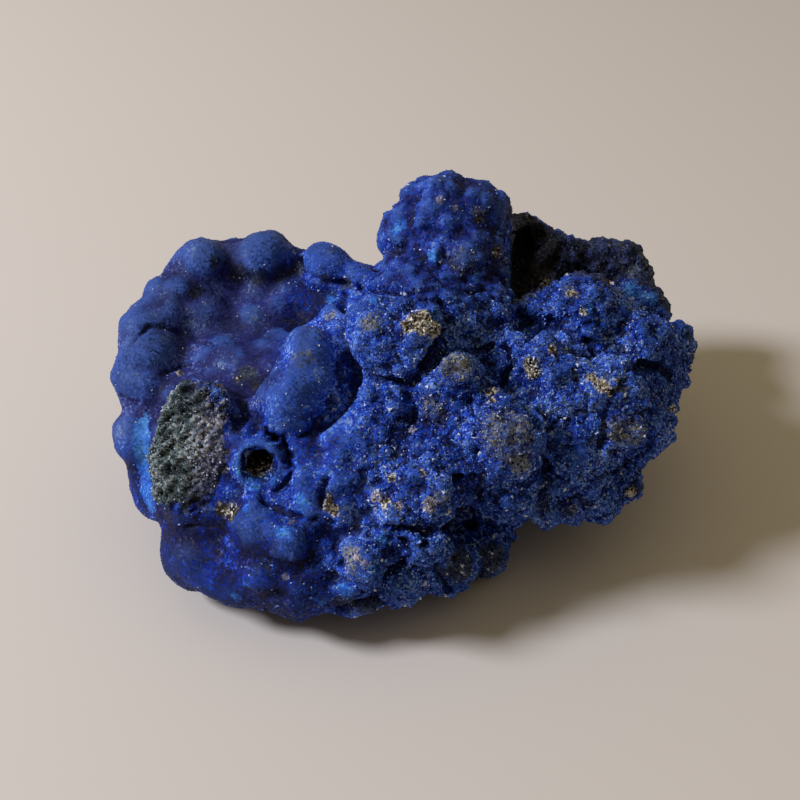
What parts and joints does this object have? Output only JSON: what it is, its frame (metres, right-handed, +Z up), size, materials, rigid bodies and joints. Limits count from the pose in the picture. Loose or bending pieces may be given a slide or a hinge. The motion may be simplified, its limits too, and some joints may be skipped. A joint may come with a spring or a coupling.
{
  "type": "azurite specimen",
  "caption": "Lump of blue azurite grown as rounded lobes with a raised crown, a knob with a broken face and a short hollow stalactite; it stands on a flat broken base.",
  "frame": {"origin": "on the flat underside that the specimen stands on, near its middle", "axes": "+X along the specimen's length, towards the overhanging coarse end; -Y is the front, with the broken knob and the hollow stalactite; +Z up"},
  "size_m": [0.0822, 0.0636, 0.0457],
  "materials": {
    "azurite": "deep blue, dull and granular, with a fine crystal sparkle and a few sky-blue, tan and grey-green patches"
  },
  "bodies": {
    "root": {"azurite_specimen": "azurite"}
  },
  "joints": []
}
